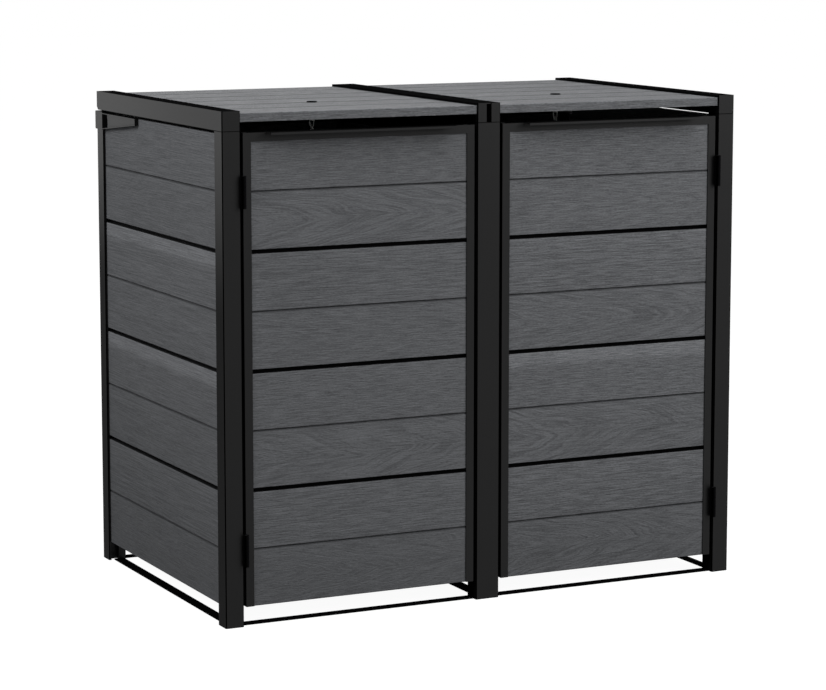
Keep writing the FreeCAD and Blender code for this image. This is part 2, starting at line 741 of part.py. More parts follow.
def left_lid_chain():
    """Oval links, each turned a quarter from the last, and a pear-shaped ring below them."""
    seat = EYE_RADIUS - EYE_WIRE - LINK_WIRE - REST_CLEAR
    top = FreeCAD.Vector(LID_MIDDLE, EYE_Y, EYE_Z - seat)
    pitch = LINK_STRAIGHT + 2 * LINK_BEND - 2 * LINK_WIRE - LINK_PLAY
    links = []
    for index in range(LINK_COUNT):
        side = X_AXIS if index % 2 == 0 else Y_AXIS
        links.append(wire_loop(
            top - Z_AXIS * (pitch * index), LINK_BEND, LINK_BEND, LINK_STRAIGHT, LINK_WIRE, side))
    end = top - Z_AXIS * (pitch * (LINK_COUNT - 1) + LINK_STRAIGHT + 2 * LINK_BEND)
    hook_top = end + Z_AXIS * (LINK_WIRE + HOOK_WIRE + LINK_PLAY)
    side = X_AXIS if LINK_COUNT % 2 == 0 else Y_AXIS
    links.append(wire_loop(hook_top, HOOK_BEND, HOOK_TOP_BEND, HOOK_STRAIGHT, HOOK_WIRE, side))
    return as_group(links)


def hinge_ear(face, toward):
    """A bracket on the rear beam: a foot, and an ear beside the rail face at x = face."""
    near = face + toward * EAR_GAP
    far = near + toward * EAR_THICK
    ear = span(near, far, PIVOT_Y - EAR_RADIUS, PIVOT_Y + EAR_RADIUS, BEAM_TOP, PIVOT_Z)
    head_base = FreeCAD.Vector(min(near, far), PIVOT_Y, PIVOT_Z)
    ear = ear.fuse(cylinder(EAR_RADIUS, EAR_THICK, head_base, X_AXIS))
    foot_back = PIVOT_Y + EAR_FOOT_BACK
    foot = span(
        near, near + toward * EAR_FOOT_LENGTH, foot_back - EAR_FOOT_DEPTH, foot_back,
        BEAM_TOP, BEAM_TOP + EAR_THICK)
    ear = ear.fuse(foot)
    ear = ear.cut(cylinder(PIVOT_RADIUS + PIN_CLEAR, EAR_THICK, head_base, X_AXIS))
    return ear.removeSplitter()


def pivot_pin(face, toward):
    """The pin of a lid, through the ear and into the rail."""
    length = PIVOT_TAIL + EAR_GAP + EAR_THICK
    start = FreeCAD.Vector(face + toward * (EAR_GAP + EAR_THICK), PIVOT_Y, PIVOT_Z)
    return cylinder(PIVOT_RADIUS, length, start, X_AXIS * -toward)


def both_sides(solids):
    return solids + [mirrored(solid) for solid in solids]


def lid_hinge_ears():
    ears = [hinge_ear(OUTER_RAIL_INNER, 1), hinge_ear(INNER_RAIL_INNER, -1)]
    return as_group(both_sides(ears))


def hinge_pins():
    pins = left_door_pins()
    pins.append(pivot_pin(OUTER_RAIL_INNER, 1))
    pins.append(pivot_pin(INNER_RAIL_INNER, -1))
    return as_group(both_sides(pins))


def save(name, shape):
    shape.exportStep("parts/" + name + ".step")


def save_pair(name, shape):
    """Saves a left-hand piece and its mirror image."""
    save("left_" + name, shape)
    save("right_" + name, mirrored(shape))


def save_frame():
    save("front_left_post", front_left_post())
    save("front_right_post", mirrored(front_left_post()))
    save("front_centre_post", front_centre_post())
    save("rear_left_post", rear_left_post())
    save("rear_right_post", mirrored(rear_left_post()))
    save("rear_centre_post", rear_centre_post())
    save("post_top_caps", post_top_caps())
    save("rear_beam", rear_beam())
    save("rear_beam_caps", rear_beam_caps())
    save("centre_top_rail", centre_top_rail())
    save("front_floor_bars", front_floor_bars())
    save("rear_floor_bars", rear_floor_bars())
    save("side_floor_bars", side_floor_bars())
    save("centre_floor_bar", centre_floor_bar())
    save_pair("side_boards", left_side_boards())
    save("rear_left_boards", rear_left_boards())
    save("rear_right_boards", mirrored(rear_left_boards()))
    save_pair("corner_bracket", left_corner_bracket())
    save("door_hinge_post_leaves", as_group(both_sides(left_post_leaves())))
    save("lid_hinge_ears", lid_hinge_ears())
    save("hinge_pins", hinge_pins())


def save_doors():
    save_pair("door_stiles", left_door_stiles())
    save_pair("door_top_rail", left_door_top_rail())
    save_pair("door_grip", left_door_grip())
    save_pair("door_hinge_leaves", as_group(left_door_leaves()))
    for index, plank in enumerate(left_door_boards()):
        save_pair("door_board_" + str(index + 1), plank)


def save_lids():
    save_pair("lid_outer_rail", lid_rail(LEFT, OUTER_RAIL_INNER, False))
    save("left_lid_inner_rail", lid_rail(INNER_RAIL_OUTER, INNER_RAIL_INNER, True))
    save("right_lid_inner_rail", mirrored(lid_rail(INNER_RAIL_OUTER, INNER_RAIL_INNER, False)))
    save("left_lid_rail_caps", lid_rail_caps(True))
    save("right_lid_rail_caps", mirrored(lid_rail_caps(False)))
    save_pair("lid_bolt", left_lid_bolt())
    save_pair("lid_eye_nut", left_lid_eye_nut())
    save_pair("lid_chain", left_lid_chain())
    for index, plank in enumerate(left_lid_boards()):
        save_pair("lid_board_" + str(index + 1), plank)


os.makedirs("parts", exist_ok=True)
save_frame()
save_doors()
save_lids()
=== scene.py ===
import json
import logging
import math
from dataclasses import dataclass, field, replace
from enum import Enum
from typing import Union

import bpy
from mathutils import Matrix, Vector


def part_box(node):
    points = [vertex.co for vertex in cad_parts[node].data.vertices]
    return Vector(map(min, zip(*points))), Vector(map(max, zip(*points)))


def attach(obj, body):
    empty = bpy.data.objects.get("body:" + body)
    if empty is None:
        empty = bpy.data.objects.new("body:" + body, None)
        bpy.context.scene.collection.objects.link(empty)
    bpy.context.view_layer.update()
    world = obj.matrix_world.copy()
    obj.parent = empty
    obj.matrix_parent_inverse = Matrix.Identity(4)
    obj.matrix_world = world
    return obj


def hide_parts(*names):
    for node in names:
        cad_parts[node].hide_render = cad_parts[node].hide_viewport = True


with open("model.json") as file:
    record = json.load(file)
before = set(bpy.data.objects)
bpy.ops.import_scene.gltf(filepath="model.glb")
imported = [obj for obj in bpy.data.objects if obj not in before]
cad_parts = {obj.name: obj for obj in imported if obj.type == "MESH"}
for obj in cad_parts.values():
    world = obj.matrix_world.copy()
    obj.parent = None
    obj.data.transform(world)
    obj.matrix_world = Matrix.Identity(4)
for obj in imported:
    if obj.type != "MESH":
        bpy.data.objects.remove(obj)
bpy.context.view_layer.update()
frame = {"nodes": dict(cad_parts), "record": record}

LOG = logging.getLogger("bin_store")

Number = Union[float, "Value"]
Colour = tuple[float, float, float]
Input = Union[float, Colour, "Value"]
Place = tuple[float, float, float]
Span = tuple[float, float]
PerBoard = tuple[float, float, float, float]
Owner = Union[bpy.types.Material, bpy.types.World]
Finish = Union["CompositeBoard", "PowderCoat", "ZincPlate"]

WHITE: Colour = (1.0, 1.0, 1.0)
BLACK: Colour = (0.0, 0.0, 0.0)
ALONG_X = Vector((1, 0, 0))
ALONG_Y = Vector((0, 1, 0))
UP = Vector((0, 0, 1))


class Value:
    """A number or vector socket of a node graph, whose arithmetic adds Math nodes."""

    def __init__(self, graph: "Graph", socket: bpy.types.NodeSocket) -> None:
        """Wraps a socket.

        Args:
            graph: The node graph that it belongs to.
            socket: The output socket that carries the value.
        """
        self.graph = graph
        self.socket = socket

    def _math(self, operation: str, first: Number, second: Number = 0.0) -> "Value":
        """Adds one Math node.

        Args:
            operation: The node's operation.
            first: Its first value.
            second: Its second value.

        Returns:
            The result.
        """
        return self.graph.node(
            "ShaderNodeMath", {"operation": operation}, {0: first, 1: second})

    def __add__(self, other: Number) -> "Value":
        """This value plus another."""
        return self._math("ADD", self, other)

    def __radd__(self, other: Number) -> "Value":
        """Another value plus this one."""
        return self._math("ADD", other, self)

    def __sub__(self, other: Number) -> "Value":
        """This value less another."""
        return self._math("SUBTRACT", self, other)

    def __rsub__(self, other: Number) -> "Value":
        """Another value less this one."""
        return self._math("SUBTRACT", other, self)

    def __mul__(self, other: Number) -> "Value":
        """This value times another."""
        return self._math("MULTIPLY", self, other)

    def __rmul__(self, other: Number) -> "Value":
        """Another value times this one."""
        return self._math("MULTIPLY", other, self)

    def __truediv__(self, other: Number) -> "Value":
        """This value over another."""
        return self._math("DIVIDE", self, other)

    def __rtruediv__(self, other: Number) -> "Value":
        """Another value over this one."""
        return self._math("DIVIDE", other, self)

    def __mod__(self, other: Number) -> "Value":
        """The remainder of this value over another, from 0 up."""
        return self._math("FLOORED_MODULO", self, other)

    def __rmod__(self, other: Number) -> "Value":
        """The remainder of another value over this one, from 0 up."""
        return self._math("FLOORED_MODULO", other, self)

    def floor(self) -> "Value":
        """The whole number below this value."""
        return self._math("FLOOR", self)

    def size(self) -> "Value":
        """This value without its sign."""
        return self._math("ABSOLUTE", self)

    def between(self, low: float, high: float, start: float = 0.0, end: float = 1.0) -> "Value":
        """Turns a stretch of this value smoothly into another, held at both ends.

        Args:
            low: Where the stretch starts.
            high: Where it ends.
            start: The result at low.
            end: The result at high.

        Returns:
            The result.
        """
        return self.graph.node(
            "ShaderNodeMapRange", {"interpolation_type": "SMOOTHSTEP", "clamp": True},
            {"Value": self, "From Min": low, "From Max": high, "To Min": start, "To Max": end})


class Graph:
    """The nodes of one material or of the world, around its ready-made shader."""

    def __init__(self, owner: Owner) -> None:
        """Turns the nodes on and finds the shader.

        Args:
            owner: The material or the world.
        """
        owner.use_nodes = True
        self.owner = owner
        self.tree = owner.node_tree
        in_world = isinstance(owner, bpy.types.World)
        self.shader = self.tree.nodes["Background" if in_world else "Principled BSDF"]

    def node(self, kind: str, settings: dict[str, Union[str, bool]],
             inputs: dict[Union[int, str], Input], output: Union[int, str] = 0) -> Value:
        """Adds a node.

        Args:
            kind: The node's type.
            settings: Its settings, set before its sockets.
            inputs: Values or links for its input sockets.
            output: The output that is returned.

        Returns:
            That output.
        """
        made = self.tree.nodes.new(kind)
        for key, setting in settings.items():
            setattr(made, key, setting)
        for key, value in inputs.items():
            self.feed(made.inputs[key], value)
        return Value(self, made.outputs[output])

    def feed(self, socket: bpy.types.NodeSocket, value: Input) -> None:
        """Links or sets an input socket.

        Args:
            socket: The input.
            value: A Value, a number or a colour.
        """
        if isinstance(value, Value):
            self.tree.links.new(value.socket, socket)
        elif isinstance(value, tuple):
            socket.default_value = (*value, 1.0)
        else:
            socket.default_value = value

    def parts(self, output: str) -> tuple[Value, Value, Value]:
        """The three parts of a texture coordinate.

        Args:
            output: The coordinate's name.

        Returns:
            Its X, Y and Z.
        """
        where = self.node("ShaderNodeTexCoord", {}, {}, output)
        return tuple(self.node("ShaderNodeSeparateXYZ", {}, {0: where}, axis) for axis in range(3))

    def place(self) -> tuple[Value, Value, Value]:
        """The point in the object's own frame, in metres."""
        return self.parts("Object")

    def facing(self) -> tuple[Value, Value, Value]:
        """The way that the surface faces, in the object's own frame."""
        return self.parts("Normal")

    def seen(self) -> Value:
        """Tells what is looked at from what only lights other surfaces.

        Returns:
            1 for rays from the camera, off gloss and through glass, otherwise 0.
        """
        camera, gloss, glass = (self.node("ShaderNodeLightPath", {}, {}, f"Is {kind} Ray")
                                for kind in ("Camera", "Glossy", "Transmission"))
        return (camera + gloss + glass).between(0.0, 1.0)

    def vector(self, x: Number, y: Number, z: Number) -> Value:
        """Three numbers as one vector."""
        return self.node("ShaderNodeCombineXYZ", {}, {0: x, 1: y, 2: z})

    def noise(self, at: Value, scale: float, detail: float = 1.0, rough: float = 0.55) -> Value:
        """Smooth noise from 0 to 1.

        Args:
            at: Where it is read.
            scale: Its fineness.
            detail: How many finer layers it has.
            rough: How strong they are.

        Returns:
            The noise.
        """
        return self.node(
            "ShaderNodeTexNoise", {"noise_dimensions": "3D"},
            {"Vector": at, "Scale": scale, "Detail": detail, "Roughness": rough})

    def shade(self, colour: Colour, factor: Number) -> Value:
        """A colour times a number.

        Args:
            colour: The colour.
            factor: The number.

        Returns:
            The shaded colour.
        """
        grey = self.node("ShaderNodeCombineColor", {}, {0: factor, 1: factor, 2: factor})
        return self.node(
            "ShaderNodeMix", {"data_type": "RGBA", "blend_type": "MULTIPLY"},
            {0: 1.0, 6: colour, 7: grey}, 2)

    def bump(self, height: Value, depth: float, strength: float) -> Value:
        """A surface relief for the shader's normal.

        Args:
            height: The relief, from 0 to 1.
            depth: Its full depth, in metres.
            strength: How much of it shows.

        Returns:
            The normal.
        """
        return self.node(
            "ShaderNodeBump", {}, {"Height": height, "Distance": depth, "Strength": strength})

    def finish(self, **sockets: Input) -> Owner:
        """Feeds the shader's sockets.

        Args:
            sockets: What goes into each socket, named with underscores for spaces.

        Returns:
            The material or the world.
        """
        for name, value in sockets.items():
            self.feed(self.shader.inputs[name.replace("_", " ")], value)
        return self.owner


class GrainRun(Enum):
    """Which way the boards of a panel lie: the axes along, across and through them."""

    FRONT = (0, 2, 1)
    SIDE = (1, 2, 0)
    LID = (0, 1, 2)

    @property
    def across(self) -> int:
        """The axis across the boards, in which they are stacked."""
        return self.value[1]

    @property
    def through(self) -> int:
        """The axis through their thickness."""
        return self.value[2]


@dataclass(frozen=True)
class BoardNoise:
    """A noise that is drawn out along the boards.

    Attributes:
        along: How fine it is along the boards, per metre.
        across: How fine it is across them, per metre.
        per_row: How far it moves on from one half-board to the next.
        scale: Makes all three finer.
        detail: How many finer layers it has.
        rough: How strong they are.
    """

    along: float
    across: float
    per_row: float = 1.0
    scale: float = 1.0
    detail: float = 1.0
    rough: float = 0.55

    def read(self, graph: Graph, along: Value, across: Value, row: Value,
             stretch: float = 1.0) -> Value:
        """Adds the noise.

        Args:
            graph: The material's graph.
            along: The place along the boards.
            across: The place across them.
            row: The half-board's number.
            stretch: How many times longer than usual it is drawn out.

        Returns:
            The noise, from 0 to 1.
        """
        at = graph.vector(
            along * (self.along / stretch), across * self.across, row * self.per_row)
        return graph.noise(at, self.scale, self.detail, self.rough)


# The noises that the grain is made of
DRIFT = BoardNoise(1.0, 1.0, scale=3.2, detail=2.0)
SWAY = BoardNoise(1.2, 9.0, scale=1.6, detail=2.0)
RINGS = BoardNoise(1.4, 9.0, 7.1, rough=0.6)
BANDS = BoardNoise(1.4, 60.0, 2.1, detail=2.0)
PATCHES = BoardNoise(11.0, 45.0, 3.7)
FRAYS = BoardNoise(50.0, 150.0)
STREAKS = BoardNoise(22.0, 520.0, 5.3, detail=2.0, rough=0.6)
FIBRES = BoardNoise(130.0, 600.0, rough=0.6)


@dataclass(frozen=True)
class BoardLooks:
    """What differs between the boards of the walls, doors and lids.

    Attributes:
        bold: Strength of the grain's contrast.
        stretch: How many times longer than usual the streaks are.
        arched: Strength of the arches.
        lift: Painted light: how much lighter the top of a board is than its foot.
        fade: Painted light and shade: how much darker the wall's foot and lighter its top are than
            its middle.
        foot: Painted shade: how much darker the foot of the lowest board is.
        brow: Painted shadow: how much darker the top of the highest board is.
        crests: Painted highlight: how much lighter the band under the top edge of each board is.
        gloss: Specular level.
        groove_reach: Half the width of the shaded groove.
        groove_shade: How much light the groove takes away.
        joint_reach: Half the width of the shade on the boards beside a joint, or 0 for none.
        joint_shade: How much light the inside of a joint takes away.
    """

    bold: float = 1.0
    stretch: float = 1.0
    arched: float = 1.0
    lift: float = 0.0
    fade: float = 0.0
    foot: float = 0.0
    brow: float = 0.0
    crests: PerBoard = (0.0, 0.0, 0.0, 0.0)
    gloss: float = 0.05
    groove_reach: float = 0.0028
    groove_shade: float = 0.60
    joint_reach: float = 0.0
    joint_shade: float = 0.99


# The looks of the boards of each wall, door and lid
REAR_LOOKS = BoardLooks()
SIDE_LOOKS = BoardLooks(bold=0.78, stretch=2.4, arched=0.35, lift=0.10, fade=0.14,
                        crests=(0.03, 0.40, 0.40, 0.0), joint_shade=0.93)
LEFT_DOOR_LOOKS = BoardLooks(bold=0.95, lift=0.02, foot=0.12, brow=0.08,
                             crests=(0.03, 0.04, 0.02, 0.0))
RIGHT_DOOR_LOOKS = BoardLooks(bold=1.15, lift=0.06, foot=0.12, brow=0.08,
                              crests=(0.03, 0.35, 0.06, 0.0))
LID_LOOKS = BoardLooks(bold=1.25, gloss=0.10, groove_reach=0.0036, groove_shade=0.85,
                       joint_reach=0.0036)


@dataclass(frozen=True)
class BoardPoint:
    """Where a shaded point lies on its boards.

    Attributes:
        graph: The material's graph.
        along: The place along the boards, shifted for its half-board.
        across: The place across them.
        boards: The same, counted in boards from the seam before the first one.
        row: The half-board's number.
        local: The place across the half-board, from its middle.
        depth: How deep the point lies behind the show face.
        shallow: 1 on the show face and in its grooves, 0 deeper down.
        arched: 1 on a face of a half-board with arches, otherwise 0.
        drift: Slow noise from 0 to 1.
        sway: Slow noise about 0.
        waver: Like local, bent a little.
    """

    graph: Graph
    along: Value
    across: Value
    boards: Value
    row: Value
    local: Value
    depth: Value
    shallow: Value
    arched: Value
    drift: Value
    sway: Value
    waver: Value


@dataclass(frozen=True)
class CompositeBoard:
    """Grey wood-plastic board with an embossed grain: short straight streaks on the upper half
    of each board and nested arches on its lower half.

    Attributes:
        name: The material's name.
        run: Which way the boards lie.
        seam: The middle of the joint before the first board, across the boards.
        pitch: From one board to the next.
        face: Where the show face lies, through the boards.
        inward: The sign of the way in from the show face.
        seed: Shifts the grain along the boards.
        looks: How these boards differ from others.
        colour: The colour of the mix.
        thick: Thickness of a board.
        skin: Depths between which the show face and its grooves end.
        rim: Depths behind both faces between which the arches end.
        row_shift: Shifts the grain from one half-board to the next.
        waver: How far the streaks wander across the board.
        arch_waver: How much further the arches do.
        arch_rate: How closely the arches follow each other along the board.
        arch_slope: How far their legs reach along the board.
        arch_curve: How much further they reach towards the edges of the half-board.
        arch_drift: How far their tips wander across the board.
        arch_sway: How far they wander along it.
        arch_fray: How ragged they are.
        arch_contrast: Noise levels of the darkest and the lightest arch.
        streak_contrast: Noise levels of the darkest and the lightest streak.
        patch_edges: Noise levels between which arches give way to streaks.
        patch_shares: How much of the figure is arches at those two levels, at full strength.
        figure: Strength of streaks and arches in the colour.
        fibre: Strength of the fibres in the colour.
        band: Strength of broad bands along the board.
        cloud: Strength of the slow noise.
        fade_boards: Over how many boards, from the ground up, a wall gets lighter in its painted
            light.
        foot_reach: How far up the lowest board its painted dark foot reaches, in boards.
        brow_reach: Where the painted shadow on the top of the highest board starts and is darkest,
            in boards.
        crest_reach: How far below a board's top its painted highlight starts and is full, in
            boards.
        crest_edge: How soft the painted highlight's upper edge is, in boards.
        joint_near: How far from a joint its shade ends, in boards.
        joint_mouth: Depths between which the shade inside a joint sets in.
        joint_back: Depths between which it ends.
        joint_edge: How soft the shade beside a joint is.
        groove_edge: How soft the edge of a groove is.
        first_joint: Heights between which joints start to count, in boards.
        last_joint: Where the shade beside joints stops again on a lid, in boards.
        roughness: Middle roughness.
        roughness_play: How much rougher the hollows of the grain are than its ridges.
        figure_relief: Share of the figure in the relief.
        fibre_relief: Share of the fibres in the relief.
        emboss: Depth of the relief.
        emboss_strength: How much of it shows.
    """

    name: str
    run: GrainRun
    seam: float
    pitch: float
    face: float
    inward: float
    seed: float
    looks: BoardLooks
    colour: Colour = (0.111, 0.1138, 0.1198)
    thick: float = 0.020
    skin: Span = (0.004, 0.005)
    rim: Span = (0.003, 0.001)
    row_shift: float = 0.413
    waver: float = 0.003
    arch_waver: float = 0.007
    arch_rate: float = 42.0
    arch_slope: float = 150.0
    arch_curve: float = 650.0
    arch_drift: float = 0.06
    arch_sway: float = 12.0
    arch_fray: float = 0.4
    arch_contrast: Span = (0.30, 0.68)
    streak_contrast: Span = (0.22, 0.78)
    patch_edges: Span = (0.35, 0.65)
    patch_shares: Span = (0.3, 0.7)
    figure: float = 0.66
    fibre: float = 0.80
    band: float = 0.16
    cloud: float = 0.08
    fade_boards: float = 3.0
    foot_reach: float = 0.8
    brow_reach: Span = (3.78, 3.97)
    crest_reach: Span = (0.17, 0.10)
    crest_edge: float = 0.005
    joint_near: Span = (0.05, 0.06)
    joint_mouth: Span = (0.0003, 0.0010)
    joint_back: Span = (0.0145, 0.0155)
    joint_edge: float = 0.0012
    groove_edge: float = 0.0007
    first_joint: Span = (0.2, 0.3)
    last_joint: Span = (2.7, 2.8)
    roughness: float = 0.78
    roughness_play: float = 0.2
    figure_relief: float = 0.6
    fibre_relief: float = 0.4
    emboss: float = 0.0011
    emboss_strength: float = 0.6

    def material(self) -> bpy.types.Material:
        """Builds the finish.

        Returns:
            The material.
        """
        graph = Graph(bpy.data.materials.new(self.name))
        point = self.locate(graph)
        figure = self.figure_at(point)
        fibres = FIBRES.read(graph, point.along, point.waver, point.row, self.looks.stretch)
        tone = self.tone_at(point, figure, fibres)
        relief = figure * self.figure_relief + fibres * self.fibre_relief
        return graph.finish(
            Base_Color=graph.shade(self.colour, tone * self.light_at(point)),
            Roughness=self.roughness + (0.5 - relief) * self.roughness_play,
            Specular_IOR_Level=self.looks.gloss,
            Normal=graph.bump(relief, self.emboss, self.emboss_strength))

    def locate(self, graph: Graph) -> BoardPoint:
        """Works out where the shaded point lies.

        Args:
            graph: The material's graph.

        Returns:
            The point.
        """
        place = graph.place()
        along, across, through = (place[axis] for axis in self.run.value)
        depth = (through - self.face) * self.inward
        half = self.pitch / 2
        rows = (across - self.seam) / half
        row = rows.floor()
        local = (rows - row - 0.5) * half
        middle = self.thick / 2
        on_face = (depth - middle).size().between(middle - self.rim[0], middle - self.rim[1])
        arched = (1.0 - row % 2.0) * on_face
        shifted = along + row * self.row_shift + self.seed
        drift = DRIFT.read(graph, shifted, across, row)
        sway = SWAY.read(graph, shifted, across, row) - 0.5
        waver = local + depth + sway * (self.waver + arched * self.arch_waver)
        boards = (across - self.seam) / self.pitch
        shallow = depth.between(*self.skin, 1.0, 0.0)
        return BoardPoint(graph, shifted, across, boards, row, local, depth, shallow, arched,
                          drift, sway, waver)

    def figure_at(self, point: BoardPoint) -> Value:
        """The figure of the grain: streaks, and arches broken up by them.

        Args:
            point: The shaded point.

        Returns:
            The figure, from 0 to 1.
        """
        graph, row = point.graph, point.row
        bent = point.local + (point.drift - 0.5) * self.arch_drift
        frays = FRAYS.read(graph, point.along, point.waver, row)
        arches = (point.along * self.arch_rate + bent.size() * self.arch_slope
                  + bent * bent * self.arch_curve + point.sway * self.arch_sway
                  + frays * self.arch_fray)
        rings = RINGS.read(graph, arches, point.along, row)
        patches = PATCHES.read(graph, point.along, point.waver, row)
        streaks = STREAKS.read(graph, point.along, point.waver, row, self.looks.stretch)
        least, most = (part * self.looks.arched for part in self.patch_shares)
        share = point.arched * patches.between(*self.patch_edges, least, most)
        return (rings.between(*self.arch_contrast) * share
                + streaks.between(*self.streak_contrast) * (1.0 - share))

    def tone_at(self, point: BoardPoint, figure: Value, fibres: Value) -> Value:
        """How light the board's colour is: its own grain and tone, with painted light and shade on
        them.

        Args:
            point: The shaded point.
            figure: The figure of the grain, from 0 to 1.
            fibres: Its fibres, from 0 to 1.

        Returns:
            A factor about 1.
        """
        looks, boards = self.looks, point.boards
        bands = BANDS.read(point.graph, point.along, point.waver, point.row)
        tone = (1.0 + (figure - 0.5) * (self.figure * looks.bold)
                + (fibres - 0.5) * (self.fibre * looks.bold)
                + (bands - 0.5) * self.band + (point.drift - 0.5) * self.cloud)
        # Painted light and shade: each board lighter towards its top, the wall lighter upwards,
        # and the foot of the lowest board and the top of the highest one darker.
        tone = tone * (1.0 + (boards % 1.0 - 0.5) * looks.lift)
        tone = tone * point.across.between(
            0.0, self.pitch * self.fade_boards, 1.0 - looks.fade, 1.0 + looks.fade)
        tone = tone * boards.between(0.0, self.foot_reach, 1.0 - looks.foot)
        tone = tone * boards.between(*self.brow_reach, 1.0, 1.0 - looks.brow)
        # Painted highlight in a band under the top edge of each board.
        for top, crest in enumerate(looks.crests, start=1):
            if crest:
                start, full = (top - reach for reach in self.crest_reach)
                below = boards.between(top - self.crest_edge, top + self.crest_edge, 1.0, 0.0)
                band = boards.between(start, full, 0.0, crest) * below * point.shallow
                tone = tone * (1.0 + band)
        return tone

    def light_at(self, point: BoardPoint) -> Value:
        """How much light is left in the joints between boards and in the grooves.

        Args:
            point: The shaded point.

        Returns:
            A factor from 0 to 1.
        """
        looks, boards, depth = self.looks, point.boards, point.depth
        off_joint = ((boards + 0.5) % 1.0 - 0.5).size()
        off_groove = (boards % 1.0 - 0.5).size() * self.pitch
        near_joint = (off_joint.between(*self.joint_near, 1.0, 0.0)
                      * boards.between(*self.first_joint))
        in_joint = depth.between(*self.joint_mouth) * depth.between(*self.joint_back, 1.0, 0.0)
        in_groove = point.shallow * off_groove.between(
            looks.groove_reach - self.groove_edge, looks.groove_reach + self.groove_edge,
            looks.groove_shade, 0.0)
        light = (1.0 - in_joint * near_joint * looks.joint_shade) * (1.0 - in_groove)
        if looks.joint_reach:
            beside = point.shallow * (off_joint * self.pitch).between(
                looks.joint_reach, looks.joint_reach + self.joint_edge, looks.groove_shade, 0.0)
            inner = (boards.between(*self.first_joint)
                     * boards.between(*self.last_joint, 1.0, 0.0))
            light = light * (1.0 - beside * inner)
        return light


@dataclass(frozen=True)
class PowderCoat:
    """Matt powder coat with the fine orange-peel of a sprayed profile. Its sheen is painted:
    broad on upright faces and set by their height and place, and faces to the right get a
    painted highlight. Painted shade darkens the slant corners of the profiles and the gap
    under the lid rails.

    Attributes:
        name: The material's name.
        colour: The colour of the coat.
        roughness: Middle roughness.
        roughness_play: How much the clouds change it.
        front_sheen: Painted sheen of the faces to the front and rear.
        side_sheen: Painted sheen of the outer faces to the sides, at the top.
        low_sheen: The same, at the foot.
        sheen_heights: Heights between which the side sheen goes from low to full.
        sheen_depths: Places from front to rear between which the side sheen changes.
        sheen_growth: How strong it is at those two places.
        sheen_roughness: Roughness of the sheen.
        front_turn: How far a face has turned to the front where its sheen starts and is full.
        side_turn: How far out a face to the side lies where its sheen starts and is full.
        seam: Height of the gap between the posts and the lid rails above them.
        seam_reach: How far from the gap its shade is full and ends.
        seam_light: How much light is left at the gap.
        corner_turn: How slant a corner is where its painted shade starts and is darkest.
        corner_dark: How much darker the painted shade makes slant corners.
        right_flank: Painted highlight: how many times lighter faces to the right are.
        flank_turn: How far a face has turned to the right where that starts and is full.
        peel: Fineness of the orange-peel.
        peel_depth: Its depth.
        peel_strength: How much of it shows.
        clouds: Fineness of the clouds.
        cloud_layers: How many finer layers clouds and dust have.
        cloud_weight: How much stronger the clouds are than the dust.
        dust: Fineness of the dust.
        dust_rise: How fine the dust is upwards, as a share.
        wear: Strength of the dust.
    """

    name: str
    colour: Colour
    roughness: float = 0.5
    roughness_play: float = 0.12
    front_sheen: float = 0.31
    side_sheen: float = 0.68
    low_sheen: float = 0.12
    sheen_heights: Span = (0.70, 1.2)
    sheen_depths: Span = (-0.4, 0.4)
    sheen_growth: Span = (0.85, 1.1)
    sheen_roughness: float = 0.42
    front_turn: Span = (0.7, 0.95)
    side_turn: Span = (0.50, 0.60)
    seam: float = 1.1674
    seam_reach: Span = (0.0005, 0.0015)
    seam_light: float = 0.25
    corner_turn: Span = (0.2, 0.4)
    corner_dark: float = 0.9
    right_flank: float = 1.0
    flank_turn: Span = (0.35, 0.7)
    peel: float = 900.0
    peel_depth: float = 0.0002
    peel_strength: float = 0.25
    clouds: float = 7.0
    cloud_layers: float = 3.0
    cloud_weight: float = 2.0
    dust: float = 60.0
    dust_rise: float = 0.35
    wear: float = 0.10

    def material(self) -> bpy.types.Material:
        """Builds the finish.

        Returns:
            The material.
        """
        graph = Graph(bpy.data.materials.new(self.name))
        x, y, z = graph.place()
        to_x, to_y, _ = graph.facing()
        at = graph.vector(x, y, z)
        grains = graph.noise(at, self.peel)
        clouds = graph.noise(at, self.clouds, self.cloud_layers)
        dust = graph.noise(graph.vector(x, y, z * self.dust_rise), self.dust, self.cloud_layers)
        # Painted shade on slant corners and in the gap under the lid rails.
        corner = (to_x * to_y).between(*self.corner_turn)
        closed = (z - self.seam).size().between(*self.seam_reach, self.seam_light, 1.0)
        painted_shade = (1.0 - corner * self.corner_dark) * closed
        tone = (1.0 + (clouds - 0.5) * self.wear * self.cloud_weight
                + (dust - 0.5) * self.wear)
        # Painted highlight on faces to the right.
        painted_right_light = to_x.between(*self.flank_turn, 1.0, self.right_flank)
        # Painted sheen, set by which way a face looks, its height and its place from front to
        # rear.
        beside = (to_x * x).between(*self.side_turn)
        ahead = to_y.size().between(*self.front_turn)
        height = z.between(*self.sheen_heights, self.low_sheen, self.side_sheen)
        height = height * y.between(*self.sheen_depths, *self.sheen_growth)
        sheen = beside * height + ahead * self.front_sheen
        return graph.finish(
            Base_Color=graph.shade(self.colour, tone * painted_shade * painted_right_light),
            Roughness=self.roughness + (clouds - 0.5) * self.roughness_play,
            Specular_IOR_Level=0.0,
            Coat_Weight=sheen * painted_shade,
            Coat_Roughness=self.sheen_roughness,
            Normal=graph.bump(grains, self.peel_depth, self.peel_strength))


